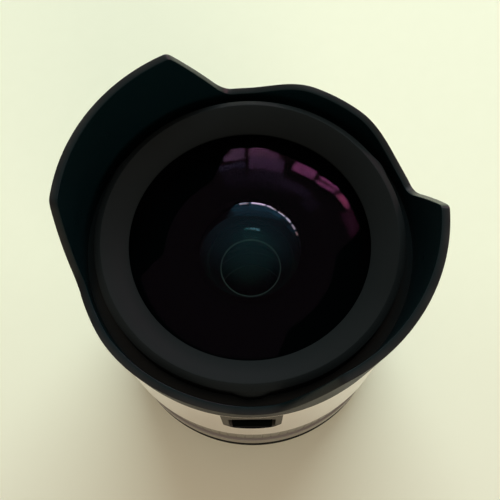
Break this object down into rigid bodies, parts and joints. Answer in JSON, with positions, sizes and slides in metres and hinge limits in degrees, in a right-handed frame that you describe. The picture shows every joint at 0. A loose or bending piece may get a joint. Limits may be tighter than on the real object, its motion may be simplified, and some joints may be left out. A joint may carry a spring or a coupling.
{
  "type": "wide-angle pancake lens with front converter",
  "caption": "Short silver pancake lens with a ridged focus ring, carrying a wide front converter with a release latch, a bulging coated front glass and a black petal hood.",
  "frame": {"origin": "on the lens axis, in the plane of the rear rim that the lens stands on", "axes": "+Z along the lens axis towards the front glass, with the release latch on the -Y side"},
  "size_m": [0.065, 0.0632, 0.0758],
  "materials": {
    "mount_steel": "polished",
    "bright_steel": "satin",
    "black_screw": "matte",
    "black_plastic": "matte",
    "contact_gold": "polished",
    "pinion_brass": "satin",
    "black_metal": "satin",
    "blade_black": "matte",
    "silver_barrel": "satin",
    "dark_metal": "satin",
    "motor_metal": "satin",
    "white_bead": "gloss",
    "strip_grey": "matte",
    "coated_glass": "coated",
    "board_green": "satin",
    "flex_amber": "satin",
    "latch_black": "satin",
    "grey_ring": "satin",
    "hood_black": "matte"
  },
  "bodies": {
    "lens_body": {"mount_plate": "mount_steel", "mount_screws": "bright_steel", "rear_guard": "black_plastic", "contact_block": "black_plastic", "contact_pins": "contact_gold", "base_ring": "black_metal", "base_barrel": "silver_barrel", "index_bead": "white_bead", "slip_washers": "bright_steel", "focus_sensors": "black_plastic", "front_bezel": "dark_metal", "bezel_screws": "black_screw", "front_shroud": "black_plastic", "rear_chassis": "black_plastic", "rear_retainer": "black_plastic", "front_chassis": "black_plastic", "guide_rods": "bright_steel", "focus_motor": "motor_metal", "iris_base": "black_plastic", "iris_motor": "motor_metal", "front_cell": "black_plastic", "front_retainer": "black_plastic", "glass_1": "coated_glass", "glass_2": "coated_glass", "glass_5": "coated_glass", "main_board": "board_green", "board_chips": "black_plastic", "flex_cable": "flex_amber"},
    "focus_ring": {"focus_ring": "silver_barrel", "encoder_strip": "strip_grey"},
    "focus_carriage": {"focus_carriage": "black_plastic", "glass_3": "coated_glass", "glass_4": "coated_glass"},
    "lead_screw": {"lead_screw": "bright_steel"},
    "iris_ring": {"iris_ring": "black_plastic"},
    "iris_pinion": {"iris_pinion": "pinion_brass"},
    "iris_blade_1": {"iris_blade_1": "blade_black"},
    "iris_blade_2": {"iris_blade_2": "blade_black"},
    "iris_blade_3": {"iris_blade_3": "blade_black"},
    "iris_blade_4": {"iris_blade_4": "blade_black"},
    "iris_blade_5": {"iris_blade_5": "blade_black"},
    "iris_blade_6": {"iris_blade_6": "blade_black"},
    "iris_blade_7": {"iris_blade_7": "blade_black"},
    "converter": {"converter_mount": "bright_steel", "converter_screws": "black_screw", "converter_barrel": "silver_barrel", "lock_leaf": "bright_steel", "leaf_screw": "bright_steel", "slider_spring": "bright_steel", "converter_cell": "black_metal", "front_glass": "coated_glass", "second_glass": "coated_glass", "glass_spacer": "black_metal", "doublet_front": "coated_glass", "doublet_rear": "coated_glass", "lock_ring": "black_metal", "front_ring": "grey_ring", "hood": "hood_black", "hood_screws": "black_screw"},
    "release_slider": {"release_slider": "latch_black"}
  },
  "joints": [
    {"name": "focus_ring_turn", "type": "hinge", "parent": "lens_body", "child": "focus_ring", "pos_m": [0, 0, 0.0195], "axis": [0, 0, 1], "continuous": true},
    {"name": "carriage_slide", "type": "slide", "parent": "lens_body", "child": "focus_carriage", "axis": [0, 0, 1], "range_m": [0, 0.0012]},
    {"name": "lead_screw_turn", "type": "hinge", "parent": "lens_body", "child": "lead_screw", "pos_m": [-0.01862, 0.01075, 0.013], "axis": [0, 0, 1], "range_deg": [0, 864]},
    {"name": "iris_ring_turn", "type": "hinge", "parent": "lens_body", "child": "iris_ring", "pos_m": [0, 0, 0.019], "axis": [0, 0, 1], "range_deg": [0, 20]},
    {"name": "iris_pinion_turn", "type": "hinge", "parent": "lens_body", "child": "iris_pinion", "pos_m": [-0.00496, -0.01363, 0.019], "axis": [0, 0, 1], "range_deg": [-173.4, 0]},
    {"name": "iris_blade_1_swing", "type": "hinge", "parent": "lens_body", "child": "iris_blade_1", "pos_m": [0.0089, 0, 0.018], "axis": [0, 0, 1], "range_deg": [0, 30]},
    {"name": "iris_blade_2_swing", "type": "hinge", "parent": "lens_body", "child": "iris_blade_2", "pos_m": [0.00555, 0.00696, 0.018], "axis": [0, 0, 1], "range_deg": [0, 30]},
    {"name": "iris_blade_3_swing", "type": "hinge", "parent": "lens_body", "child": "iris_blade_3", "pos_m": [-0.00198, 0.00868, 0.018], "axis": [0, 0, 1], "range_deg": [0, 30]},
    {"name": "iris_blade_4_swing", "type": "hinge", "parent": "lens_body", "child": "iris_blade_4", "pos_m": [-0.00802, 0.00386, 0.018], "axis": [0, 0, 1], "range_deg": [0, 30]},
    {"name": "iris_blade_5_swing", "type": "hinge", "parent": "lens_body", "child": "iris_blade_5", "pos_m": [-0.00802, -0.00386, 0.018], "axis": [0, 0, 1], "range_deg": [0, 30]},
    {"name": "iris_blade_6_swing", "type": "hinge", "parent": "lens_body", "child": "iris_blade_6", "pos_m": [-0.00198, -0.00868, 0.018], "axis": [0, 0, 1], "range_deg": [0, 30]},
    {"name": "iris_blade_7_swing", "type": "hinge", "parent": "lens_body", "child": "iris_blade_7", "pos_m": [0.00555, -0.00696, 0.018], "axis": [0, 0, 1], "range_deg": [0, 30]},
    {"name": "converter_twist", "type": "hinge", "parent": "lens_body", "child": "converter", "pos_m": [0, 0, 0.0271], "axis": [0, 0, 1], "range_deg": [0, 35]},
    {"name": "release_slide", "type": "slide", "parent": "converter", "child": "release_slider", "axis": [0, 0, 1], "range_m": [0, 0.002], "stiffness_N_per_m": 400, "springref_m": -0.003, "deforming": ["slider_spring", "lock_leaf"]}
  ],
  "couplings": [
    {"joint": "lead_screw_turn", "follows": "carriage_slide", "rad_per_m": 12566},
    {"joint": "iris_pinion_turn", "follows": "iris_ring_turn", "ratio": -8.6667},
    {"joint": "iris_blade_1_swing", "follows": "iris_ring_turn", "ratio": 1.5},
    {"joint": "iris_blade_2_swing", "follows": "iris_ring_turn", "ratio": 1.5},
    {"joint": "iris_blade_3_swing", "follows": "iris_ring_turn", "ratio": 1.5},
    {"joint": "iris_blade_4_swing", "follows": "iris_ring_turn", "ratio": 1.5},
    {"joint": "iris_blade_5_swing", "follows": "iris_ring_turn", "ratio": 1.5},
    {"joint": "iris_blade_6_swing", "follows": "iris_ring_turn", "ratio": 1.5},
    {"joint": "iris_blade_7_swing", "follows": "iris_ring_turn", "ratio": 1.5}
  ]
}
